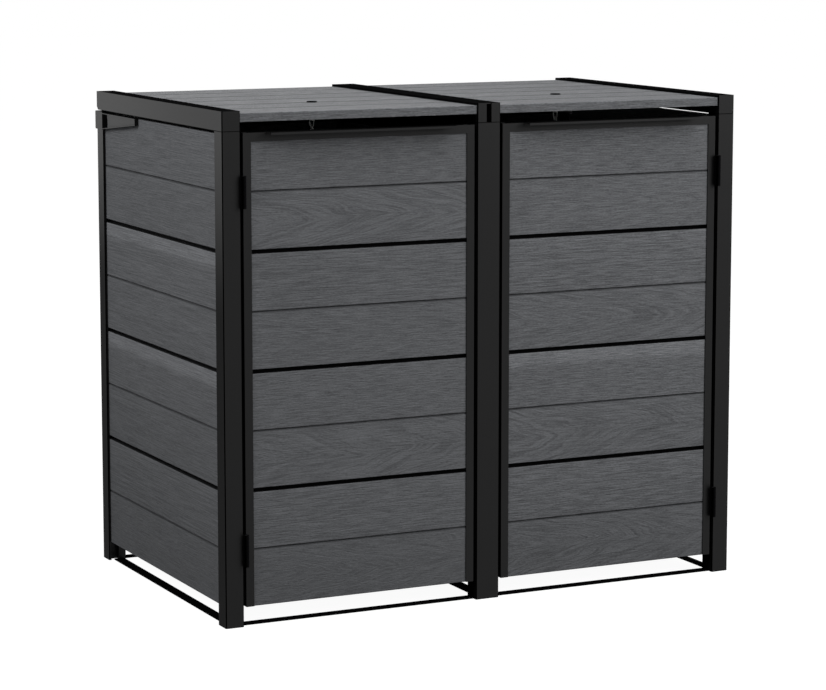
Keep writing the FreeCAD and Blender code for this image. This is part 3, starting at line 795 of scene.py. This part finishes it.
@dataclass(frozen=True)
class ZincPlate:
    """Dull zinc plate on wire and bolts, with a cloudy sheen.

    Attributes:
        name: The material's name.
        colour: The colour of the zinc.
        roughness: Middle roughness.
        roughness_play: How much the clouds change it.
        clouds: Fineness of the clouds.
        cloud_layers: How many finer layers they have.
        cloud_tones: Darkest tone and how much lighter the lightest one is.
        spangle: Fineness of the crystals.
        spangle_depth: Their depth.
        spangle_strength: How much of it shows.
    """

    name: str
    colour: Colour = (0.42, 0.42, 0.41)
    roughness: float = 0.38
    roughness_play: float = 0.3
    clouds: float = 160.0
    cloud_layers: float = 3.0
    cloud_tones: Span = (0.82, 0.36)
    spangle: float = 900.0
    spangle_depth: float = 0.0002
    spangle_strength: float = 0.3

    def material(self) -> bpy.types.Material:
        """Builds the finish.

        Returns:
            The material.
        """
        graph = Graph(bpy.data.materials.new(self.name))
        at = graph.vector(*graph.place())
        clouds = graph.noise(at, self.clouds, self.cloud_layers)
        spangle = graph.noise(at, self.spangle)
        darkest, play = self.cloud_tones
        return graph.finish(
            Base_Color=graph.shade(self.colour, darkest + clouds * play),
            Roughness=self.roughness + (clouds - 0.5) * self.roughness_play,
            Metallic=1.0,
            Normal=graph.bump(spangle, self.spangle_depth, self.spangle_strength))


# The finishes of metal and plastic
ALUMINIUM_COAT = PowderCoat("dark_frame_coat", (0.0036, 0.0036, 0.0037))
STEEL_COAT = PowderCoat("black_steel_coat", (0.0026, 0.0026, 0.0027), roughness=0.55,
                        front_sheen=0.02, side_sheen=0.04, low_sheen=0.02)
# The hinge's faces to the right get a painted highlight.
HINGE_COAT = PowderCoat("hinge_coat", (0.0020, 0.0020, 0.0022), roughness=0.4,
                        front_sheen=0.02, side_sheen=0.04, low_sheen=0.02, right_flank=5.0)
CAP_PLASTIC = PowderCoat("cap_plastic", (0.0036, 0.0036, 0.0037), roughness=0.55, peel=1400.0,
                         wear=0.06)
ZINC = ZincPlate("zinc_plate")
DARK_ZINC = ZincPlate("dark_zinc_plate", (0.02, 0.02, 0.02), 0.55)

FRAME_BODY = "frame"
BOARD_SLOT = "composite"
FINISH_OF_SLOT: dict[str, Finish] = {
    "coated_aluminium": ALUMINIUM_COAT,
    "coated_steel": STEEL_COAT,
    "hinge_steel": HINGE_COAT,
    "zinc_steel": ZINC,
    "cap_plastic": CAP_PLASTIC,
}
FINISH_OF_NODE: dict[str, Finish] = {"hinge_pins": DARK_ZINC}
SLOT_OF_NODE: dict[str, str] = {
    part["node"]: part["material_slot"] for part in frame["record"]["subparts"]}
MADE: dict[str, bpy.types.Material] = {}


def dressed(finish: Finish) -> bpy.types.Material:
    """The material of a finish, made once.

    Args:
        finish: The finish.

    Returns:
        The material.
    """
    if finish.name not in MADE:
        MADE[finish.name] = finish.material()
    return MADE[finish.name]


def dress_node(node: str, finish: Finish) -> None:
    """Gives a CAD node a finish.

    Args:
        node: The node's name.
        finish: Its finish.
    """
    mesh = frame["nodes"][node].data
    mesh.materials.clear()
    mesh.materials.append(dressed(finish))


def dress_fittings(body: str) -> None:
    """Gives the pieces of a body that aren't boards their finishes.

    Args:
        body: The CAD body.
    """
    for node in frame["record"]["behaviour"]["bodies"][body]:
        slot = SLOT_OF_NODE[node]
        if slot != BOARD_SLOT:
            dress_node(node, FINISH_OF_NODE.get(node, FINISH_OF_SLOT[slot]))


@dataclass(frozen=True)
class BoardPanel:
    """Boards that lie in one plane, in a wall, a door or a lid.

    Attributes:
        stack: The door or lid whose boards are stacked as these are.
        run: Which way the boards lie.
        inward: The sign of the way in from the show face.
        joint: The gap between two boards.
    """

    stack: str
    run: GrainRun
    inward: float
    joint: float = 0.0085

    def dress(self, node: str, seed: float, looks: BoardLooks) -> None:
        """Gives a node of the panel its grain.

        Args:
            node: The CAD node.
            seed: Shifts the grain.
            looks: How the boards look.
        """
        second, third = (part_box(f"{self.stack}_board_{number}")[0][self.run.across]
                         for number in (2, 3))
        pitch = third - second
        seam = second - pitch - self.joint / 2
        low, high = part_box(node)
        face = (low if self.inward > 0 else high)[self.run.through]
        dress_node(node, CompositeBoard(
            node + "_grain", self.run, seam, pitch, face, self.inward, seed, looks))


def add_object(name: str, data: bpy.types.ID) -> bpy.types.Object:
    """Puts a mesh, lamp or camera into the scene.

    Args:
        name: The object's name.
        data: The mesh, lamp or camera.

    Returns:
        The object.
    """
    made = bpy.data.objects.new(name, data)
    bpy.context.scene.collection.objects.link(made)
    return made


def round_steps(count: int) -> list[Span]:
    """Cosine and sine of equal steps round a circle.

    Args:
        count: How many steps.

    Returns:
        The pairs, from the first axis on.
    """
    angles = (2 * math.pi * step / count for step in range(count))
    return [(math.cos(angle), math.sin(angle)) for angle in angles]


@dataclass
class MeshMaker:
    """Collects points and faces of one piece.

    Attributes:
        points: The points so far.
        faces: The faces so far, each the numbers of its points.
    """

    points: list[Vector] = field(default_factory=list)
    faces: list[list[int]] = field(default_factory=list)

    def rings(self, rows: list[list[Vector]], closed: bool) -> None:
        """Joins rows of points, each row a closed ring.

        Args:
            rows: The rings, all of the same length.
            closed: True where the last ring joins the first.
        """
        base = len(self.points)
        count = len(rows[0])
        for row in rows:
            self.points += row
        last = len(rows) if closed else len(rows) - 1
        for index in range(last):
            here = base + index * count
            there = base + ((index + 1) % len(rows)) * count
            for side in range(count):
                after = (side + 1) % count
                self.faces.append([here + side, here + after, there + after, there + side])

    def lathe(self, foot: Vector, profile: list[Span], segments: int = 40) -> None:
        """Turns a profile round an upright axis and closes both ends.

        Args:
            foot: The start of the axis.
            profile: Radius and height along the axis, from end to end.
            segments: How many points a ring has.
        """
        across = UP.orthogonal().normalized()
        third = UP.cross(across)
        base = len(self.points)
        self.rings([[foot + UP * height + (across * cosine + third * sine) * radius
                     for cosine, sine in round_steps(segments)]
                    for radius, height in profile], closed=False)
        self.faces.append(list(range(base, base + segments)))
        self.faces.append(list(range(len(self.points) - segments, len(self.points))))

    def piece(self, name: str, finish: Finish, body: str,
              smooth: float = 40.0) -> bpy.types.Object:
        """Makes the object and lets it ride.

        Args:
            name: The piece's name.
            finish: Its finish.
            body: The CAD body that it rides on.
            smooth: Edges flatter than this angle, in degrees, are shaded smooth.

        Returns:
            The object.
        """
        mesh = bpy.data.meshes.new(name)
        mesh.from_pydata([tuple(point) for point in self.points], [], self.faces)
        mesh.validate()
        mesh.materials.append(dressed(finish))
        mesh.polygons.foreach_set("use_smooth", [True] * len(mesh.polygons))
        mesh.set_sharp_from_angle(angle=math.radians(smooth))
        made = add_object(name, mesh)
        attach(made, body)
        LOG.info("made %s: %d faces on %s", name, len(mesh.polygons), body)
        return made


@dataclass(frozen=True)
class WireLoop:
    """A closed loop of round wire that hangs from its upper bend.

    Attributes:
        wire: Radius of the wire.
        low_bend: Radius of the lower bend, to the middle of the wire.
        high_bend: Radius of the upper bend, likewise.
        straight: Distance between the centres of the two bends, or 0 for a round eye.
        steps: Points on each bend.
        corners: Points round the wire.
    """

    wire: float
    low_bend: float
    high_bend: float
    straight: float = 0.0
    steps: int = 14
    corners: int = 14

    @property
    def tall(self) -> float:
        """Height of a loop with equal bends, between the middles of its wire."""
        return self.straight + 2 * self.low_bend

    def path(self, top: Vector, side: Vector) -> list[Vector]:
        """The middle line of the wire.

        Args:
            top: Its highest point.
            side: The way of the loop's width.

        Returns:
            The points, once round.
        """
        upper = top - UP * self.high_bend
        lower = upper - UP * self.straight
        lean = 0.0
        if self.straight:
            lean = math.asin((self.low_bend - self.high_bend) / self.straight)
        spans = (
            (lower, self.low_bend, -lean, math.pi + lean),
            (upper, self.high_bend, math.pi + lean, 2 * math.pi - lean),
        )
        points = []
        for centre, radius, first, last in spans:
            for step in range(self.steps + 1):
                angle = first + (last - first) * step / self.steps
                arm = side * math.cos(angle) - UP * math.sin(angle)
                points.append(centre + arm * radius)
        if self.straight:
            return points
        return points[:self.steps] + points[self.steps + 1:-1]

    def add(self, maker: MeshMaker, top: Vector, side: Vector) -> None:
        """Adds the loop to a piece.

        Args:
            maker: Takes the loop.
            top: The highest point of the wire's middle line.
            side: The way of the loop's width.
        """
        path = self.path(top, side)
        normal = side.cross(UP)
        rows = []
        for index, point in enumerate(path):
            run = (path[(index + 1) % len(path)] - path[index - 1]).normalized()
            across = run.cross(normal)
            rows.append([point + (across * cosine + normal * sine) * self.wire
                         for cosine, sine in round_steps(self.corners)])
        maker.rings(rows, closed=True)


@dataclass(frozen=True)
class ScrewHead:
    """A countersunk head with a cross recess, sunk into its leaf.

    Attributes:
        radius: Radius of the head.
        dome: How far its middle stands out of the leaf.
        sink: How deep its rim lies in the leaf.
        recess: Depth of the cross.
        cross_arm: Half the width of the cross, as a share of the radius.
        cross_reach: How far the cross reaches, as a share of the radius.
        middle: Radius of the innermost ring, as a share of the radius.
        rings: How many rings of faces it has.
        segments: How many points a ring has.
    """

    radius: float = 0.0036
    dome: float = 0.00012
    sink: float = 0.0007
    recess: float = 0.0006
    cross_arm: float = 0.17
    cross_reach: float = 0.62
    middle: float = 0.02
    rings: int = 7
    segments: int = 32

    def add(self, maker: MeshMaker, centre: Vector, out: Vector) -> None:
        """Adds the head to a piece.

        Args:
            maker: Takes the head.
            centre: The middle of the head, on the leaf's face.
            out: The way out of the leaf.
        """
        rows = []
        for ring in range(self.rings + 1):
            share = ring / self.rings
            radius = self.radius * (share if share else self.middle)
            row = []
            for cosine, sine in round_steps(self.segments):
                beside_arm = min(abs(cosine * share), abs(sine * share))
                in_cross = beside_arm < self.cross_arm and share < self.cross_reach
                height = self.dome * (1 - share * share) - (self.recess if in_cross else 0.0)
                if ring == self.rings:
                    height = -self.sink
                row.append(centre + out * height + Vector((0, cosine * radius, sine * radius)))
            rows.append(row)
        maker.rings(rows, closed=False)


class Side(Enum):
    """The two bays, as the sign of X."""

    LEFT = -1
    RIGHT = 1

    @property
    def word(self) -> str:
        """The start of the bay's node names."""
        return self.name.lower()


@dataclass
class StoreFrame:
    """Posts, beam, rails, floor bars, brackets, fixed walls and hinge parts of the frame.

    Attributes:
        body: The frame's body.
    """

    body: str = FRAME_BODY

    def build(self) -> None:
        """Dresses the frame, its walls with boards stacked as those of the doors are."""
        dress_fittings(self.body)
        left = BoardPanel("left_door", GrainRun.SIDE, 1.0)
        right = BoardPanel("left_door", GrainRun.SIDE, -1.0)
        rear = BoardPanel("left_door", GrainRun.FRONT, -1.0)
        left.dress("left_side_boards", seed=0.13, looks=SIDE_LOOKS)
        right.dress("right_side_boards", seed=2.71, looks=SIDE_LOOKS)
        rear.dress("rear_left_boards", seed=4.1, looks=REAR_LOOKS)
        rear.dress("rear_right_boards", seed=6.4, looks=REAR_LOOKS)
        LOG.info("dressed the %s", self.body)


@dataclass
class DoorLeaf:
    """A front door: boards in stiles, a top rail with its grip strip, and hinge leaves.

    Attributes:
        side: The door's bay.
        seed: Shifts the grain of its boards.
        looks: How its boards look.
        arched: Strength of the arches on each board.
        board_shift: Shifts the grain from board to board.
        hinge_height: Height of a hinge.
        leaf_reach: Width of a hinge leaf.
        leaf_thick: Thickness of a hinge leaf.
        gap: Between the door's stile and its post.
        screw_shares: Heights of the screws, as shares of the hinge's height.
        screw: One screw head.
    """

    side: Side
    seed: float
    looks: BoardLooks
    arched: PerBoard
    board_shift: float = 1.37
    hinge_height: float = 0.076
    leaf_reach: float = 0.026
    leaf_thick: float = 0.002
    gap: float = 0.007
    screw_shares: tuple[float, float, float] = (0.2, 0.5, 0.8)
    screw: ScrewHead = ScrewHead()

    @property
    def body(self) -> str:
        """The door's CAD body."""
        return self.side.word + "_door"

    def dress(self) -> None:
        """Gives every node of the door its finish."""
        dress_fittings(self.body)
        panel = BoardPanel(self.body, GrainRun.FRONT, 1.0)
        for number, arched in enumerate(self.arched, start=1):
            panel.dress(f"{self.body}_board_{number}", self.seed + number * self.board_shift,
                        replace(self.looks, arched=arched))

    def screw_places(self) -> list[Span]:
        """Finds the screws in the leaves of both hinges.

        Returns:
            The depth and height of each.
        """
        low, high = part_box(self.body + "_hinge_leaves")
        y = high.y - self.leaf_reach / 2
        bottoms = (low.z, high.z - self.hinge_height)
        return [(y, bottom + self.hinge_height * share)
                for bottom in bottoms for share in self.screw_shares]

    def screws(self) -> None:
        """Makes the screw heads in the leaves on the door and on the post."""
        toward = -self.side.value
        low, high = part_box(self.body + "_stiles")
        edge = low.x if self.side is Side.LEFT else high.x
        faces = {
            self.body: (edge - toward * self.leaf_thick, -toward),
            FRAME_BODY: (edge - toward * (self.gap - self.leaf_thick), toward),
        }
        for body, (x, way) in faces.items():
            maker = MeshMaker()
            for y, z in self.screw_places():
                self.screw.add(maker, Vector((x, y, z)), ALONG_X * way)
            maker.piece(f"{self.side.word}_hinge_screws_{body}", ZINC, body)

    def build(self) -> None:
        """Dresses the door and makes its screws."""
        self.dress()
        self.screws()
        LOG.info("dressed %s", self.body)


@dataclass
class LidLeaf:
    """A lid: boards in two side rails, with the bolt, eye nut and chain for the bin's own lid.

    Attributes:
        side: The lid's bay.
        seed: Shifts the grain of its boards.
        looks: How its boards look.
        boards: How many boards it has.
        board_shift: Shifts the grain from board to board.
        joint: Gap between two boards.
        soft: How far the edges of bolt and nut are broken.
        shank: Radius of the bolt.
        tail: How far the bolt reaches below the boards.
        head_radius: Radius of its head.
        head_high: Height of its head.
        nut_radius: Radius of the round nut.
        nut_high: Height of the nut.
        eye: The wire eye of the nut.
        eye_drop: From the underside of the boards to the middle of the eye.
        seat: Room between the eye and the first link.
        link: One link of the chain.
        links: How many links it has.
        play: Room between two links, and between the last one and the ring.
        ring: The pear-shaped ring at its end.
    """

    side: Side
    seed: float
    looks: BoardLooks = LID_LOOKS
    boards: int = 3
    board_shift: float = 1.91
    joint: float = 0.0025
    soft: float = 0.0007
    shank: float = 0.0039
    tail: float = 0.0037
    head_radius: float = 0.013
    head_high: float = 0.0026
    nut_radius: float = 0.007
    nut_high: float = 0.006
    eye: WireLoop = WireLoop(0.0025, 0.009, 0.009, steps=24)
    eye_drop: float = 0.0145
    seat: float = 0.0003
    link: WireLoop = WireLoop(0.00175, 0.0055, 0.0055, 0.009)
    links: int = 4
    play: float = 0.0002
    ring: WireLoop = WireLoop(0.0022, 0.0085, 0.0055, 0.019)

    @property
    def body(self) -> str:
        """The lid's CAD body."""
        return self.side.word + "_lid"

    @property
    def eye_middle(self) -> Vector:
        """The middle of the eye, under the boards.

        Returns:
            The point.
        """
        low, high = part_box(self.body + "_eye_nut")
        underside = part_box(self.body + "_board_2")[0].z
        return Vector(((low.x + high.x) / 2, (low.y + high.y) / 2, underside - self.eye_drop))

    def dress(self) -> None:
        """Gives every node of the lid and its chain their finish."""
        dress_fittings(self.body)
        dress_fittings(self.side.word + "_chain")
        panel = BoardPanel(self.body, GrainRun.LID, -1.0, self.joint)
        for number in range(1, self.boards + 1):
            panel.dress(f"{self.body}_board_{number}", self.seed + number * self.board_shift,
                        self.looks)

    def bolt(self) -> None:
        """Makes the bolt with its flat head on the joint of the boards."""
        maker = MeshMaker()
        low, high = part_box(self.body + "_board_2")
        middle, soft = self.eye_middle, self.soft
        foot = Vector((middle.x, middle.y, low.z - self.tail))
        rise = high.z - foot.z
        top = rise + self.head_high
        maker.lathe(foot, [
            (self.shank - soft, 0.0),
            (self.shank, soft),
            (self.shank, rise),
            (self.head_radius, rise),
            (self.head_radius, top - 2 * soft),
            (self.head_radius - soft, top - soft / 2),
            (self.head_radius - 2 * soft, top),
        ])
        bolt = maker.piece(self.body + "_button_bolt", HINGE_COAT, self.body)
        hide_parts(self.body + "_bolt")

    def eye_nut(self) -> None:
        """Makes the round nut under the boards, with its eye."""
        maker = MeshMaker()
        middle = self.eye_middle
        foot = middle + UP * (self.eye_drop - self.nut_high)
        maker.lathe(foot, [
            (self.nut_radius - self.soft, 0.0),
            (self.nut_radius, self.soft),
            (self.nut_radius, self.nut_high),
        ])
        self.eye.add(maker, middle + UP * self.eye.high_bend, ALONG_Y)
        nut = maker.piece(self.body + "_eye", ZINC, self.body)
        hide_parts(self.body + "_eye_nut")

    def chain(self) -> None:
        """Makes the links, each turned a quarter from the last, and the ring at their end."""
        maker = MeshMaker()
        eye, link, ring = self.eye, self.link, self.ring
        top = self.eye_middle - UP * (eye.low_bend - eye.wire - link.wire - self.seat)
        pitch = link.tall - 2 * link.wire - self.play
        for index in range(self.links):
            way = ALONG_X if index % 2 == 0 else ALONG_Y
            link.add(maker, top - UP * (pitch * index), way)
        drop = pitch * (self.links - 1) + link.tall
        ring.add(maker, top - UP * (drop - link.wire - ring.wire - self.play), ALONG_X)
        made = maker.piece(self.body + "_links", ZINC, self.side.word + "_chain")
        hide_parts(self.body + "_chain")

    def build(self) -> None:
        """Dresses the lid and makes its bolt, eye nut and chain."""
        self.dress()
        self.bolt()
        self.eye_nut()
        self.chain()
        LOG.info("dressed %s", self.body)


@dataclass(frozen=True)
class Lamp:
    """A soft square lamp.

    Attributes:
        name: Its name.
        place: Where it stands.
        size: Its width.
        power: Its power in watts.
    """

    name: str
    place: Place
    size: float
    power: float

    def build(self, aim: Vector) -> None:
        """Adds the lamp.

        Args:
            aim: The point that it faces.
        """
        data = bpy.data.lights.new(self.name, "AREA")
        data.shape = "SQUARE"
        data.size = self.size
        data.energy = self.power
        lamp = add_object(self.name, data)
        lamp.location = self.place
        lamp.rotation_euler = (aim - lamp.location).to_track_quat("-Z", "Y").to_euler()


@dataclass
class Studio:
    """Pale floor, white surroundings and soft lamps.

    Attributes:
        floor_size: Width of the floor.
        floor_glow: How white the floor looks by itself.
        floor_colour: How much of the light on it the floor gives back.
        floor_roughness: Its roughness.
        paper: Fineness of its mottle.
        paper_layers: How many finer layers that has.
        paper_play: Strength of the mottle.
        sky: How strongly the surroundings light the object.
        aim: The point that the lamps face.
        lamps: The lamps.
    """

    floor_size: float = 60.0
    floor_glow: float = 0.95
    floor_colour: float = 0.16
    floor_roughness: float = 0.9
    paper: float = 40.0
    paper_layers: float = 2.0
    paper_play: float = 0.01
    sky: float = 0.32
    aim: Place = (0.0, 0.0, 0.7)
    lamps: tuple[Lamp, ...] = (
        Lamp("overhead", (1.3, -2.4, 4.8), 3.0, 105.0),
        Lamp("front_right", (2.9, -3.6, 2.6), 2.0, 112.0),
        Lamp("left", (-4.6, -1.2, 4.4), 2.6, 172.0),
        Lamp("back", (1.5, 5.5, 3.0), 3.0, 90.0),
    )

    def floor(self) -> None:
        """Makes the floor, which stays white to the camera and keeps the object's shadow."""
        half = self.floor_size / 2
        mesh = bpy.data.meshes.new("floor")
        corners = [(-half, -half, 0.0), (half, -half, 0.0), (half, half, 0.0), (-half, half, 0.0)]
        mesh.from_pydata(corners, [], [(0, 1, 2, 3)])
        floor = add_object("floor", mesh)
        graph = Graph(bpy.data.materials.new("floor"))
        paper = graph.noise(graph.vector(*graph.place()), self.paper, self.paper_layers)
        mesh.materials.append(graph.finish(
            Base_Color=graph.shade(WHITE, self.floor_colour + (paper - 0.5) * self.paper_play),
            Roughness=self.floor_roughness, Specular_IOR_Level=0.0))
        glow, dark = (
            graph.node("ShaderNodeEmission", {}, {"Color": colour, "Strength": strength})
            for colour, strength in ((WHITE, self.floor_glow), (BLACK, 0.0)))
        lit = graph.node("ShaderNodeMixShader", {}, {0: graph.seen(), 1: dark, 2: glow})
        plain = Value(graph, graph.shader.outputs[0])
        total = graph.node("ShaderNodeAddShader", {}, {0: plain, 1: lit})
        graph.feed(graph.tree.nodes["Material Output"].inputs["Surface"], total)

    def world(self) -> None:
        """Makes the surroundings: white to the camera, softer as a light."""
        world = bpy.data.worlds.new("studio")
        bpy.context.scene.world = world
        graph = Graph(world)
        graph.finish(Color=WHITE, Strength=graph.seen().between(0.0, 1.0, self.sky, 1.0))

    def build(self) -> None:
        """Makes the floor, the surroundings and the lamps."""
        self.floor()
        self.world()
        for lamp in self.lamps:
            lamp.build(Vector(self.aim))
        LOG.info("set up the studio with %d lamps", len(self.lamps))


@dataclass
class PhotoCamera:
    """The camera of the photograph: a long lens, a little above the lids, left of the middle.

    Attributes:
        place: Where it stands.
        forward: The way that it looks.
        focal_pixels: Focal length, in pixels of the photograph.
        image_width: Width of the photograph, in pixels.
        image_height: Its height.
        axis_row: The row of the photograph that the lens axis meets.
        sensor: Width of the sensor, in millimetres.
    """

    place: Place = (-3.14998, -6.46485, 1.66701)
    forward: tuple[float, float, float] = (0.43429, 0.89058, -0.13511)
    focal_pixels: float = 2847.0
    image_width: float = 826.0
    image_height: float = 690.0
    axis_row: float = 300.0
    sensor: float = 36.0

    def build(self) -> None:
        """Makes the camera and gives it to the scene."""
        data = bpy.data.cameras.new("camera")
        data.sensor_width = self.sensor
        data.lens = self.focal_pixels / self.image_width * self.sensor
        data.shift_y = (self.axis_row - self.image_height / 2) / self.image_width
        camera = add_object("camera", data)
        camera.location = self.place
        camera.rotation_euler = Vector(self.forward).to_track_quat("-Z", "Y").to_euler()
        bpy.context.scene.camera = camera
        LOG.info("placed the camera")


def main() -> None:
    """Builds and dresses the store, its surroundings and the camera."""
    logging.basicConfig(level=logging.INFO, format="%(name)s %(message)s")
    bpy.context.scene.view_settings.view_transform = "Standard"
    PhotoCamera().build()
    Studio().build()
    StoreFrame().build()
    DoorLeaf(Side.LEFT, seed=0.6, looks=LEFT_DOOR_LOOKS, arched=(0.6, 0.75, 0.35, 0.9)).build()
    DoorLeaf(Side.RIGHT, seed=5.2, looks=RIGHT_DOOR_LOOKS, arched=(0.8, 0.8, 0.7, 0.4)).build()
    LidLeaf(Side.LEFT, seed=1.1).build()
    LidLeaf(Side.RIGHT, seed=7.3).build()


if __name__ == "__main__":
    main()
